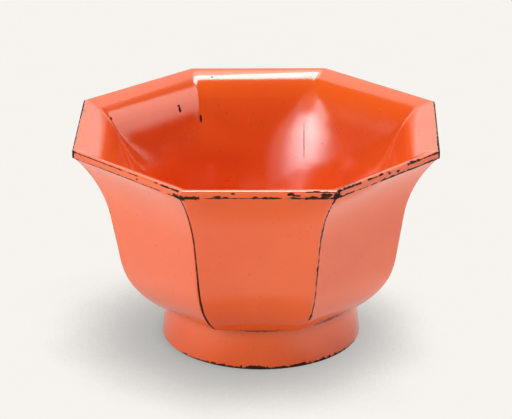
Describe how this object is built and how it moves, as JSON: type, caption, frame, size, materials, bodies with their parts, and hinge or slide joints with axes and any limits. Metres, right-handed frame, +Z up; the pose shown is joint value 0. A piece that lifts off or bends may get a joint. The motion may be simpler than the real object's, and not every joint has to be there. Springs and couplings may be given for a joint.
{
  "type": "octagonal lacquer cup",
  "caption": "Octagonal footed cup of orange-red lacquer over cloth and a coopered wooden core, with a flared rim and a turned foot ring.",
  "frame": {"origin": "under the middle of the foot ring, on the surface that the cup stands on", "axes": "+Z up along the cup's axis, -Y out through the middle of the front flat, +X to the right of it"},
  "size_m": [0.1016, 0.1016, 0.0636],
  "materials": {
    "red_lacquer": "glossy polished lacquer with worn edges",
    "black_lacquer": "satin lacquer, worn on the standing edge",
    "core_wood": "planed and scraped, unfinished",
    "hemp_cloth": "open weave soaked in raw lacquer"
  },
  "bodies": {
    "root": {"base_block": "core_wood", "foot_ring": "black_lacquer", "wall_stave_front": "core_wood", "wall_stave_front_right": "core_wood", "wall_stave_right": "core_wood", "wall_stave_back_right": "core_wood", "wall_stave_back": "core_wood", "wall_stave_back_left": "core_wood", "wall_stave_left": "core_wood", "wall_stave_front_left": "core_wood", "rim_strip_front": "core_wood", "rim_strip_front_right": "core_wood", "rim_strip_right": "core_wood", "rim_strip_back_right": "core_wood", "rim_strip_back": "core_wood", "rim_strip_back_left": "core_wood", "rim_strip_left": "core_wood", "rim_strip_front_left": "core_wood", "outer_cloth": "hemp_cloth", "inner_cloth": "hemp_cloth", "outer_lacquer": "red_lacquer", "inner_lacquer": "red_lacquer", "rim_lacquer": "red_lacquer", "foot_lacquer": "red_lacquer", "underside_lacquer": "black_lacquer"}
  },
  "joints": []
}
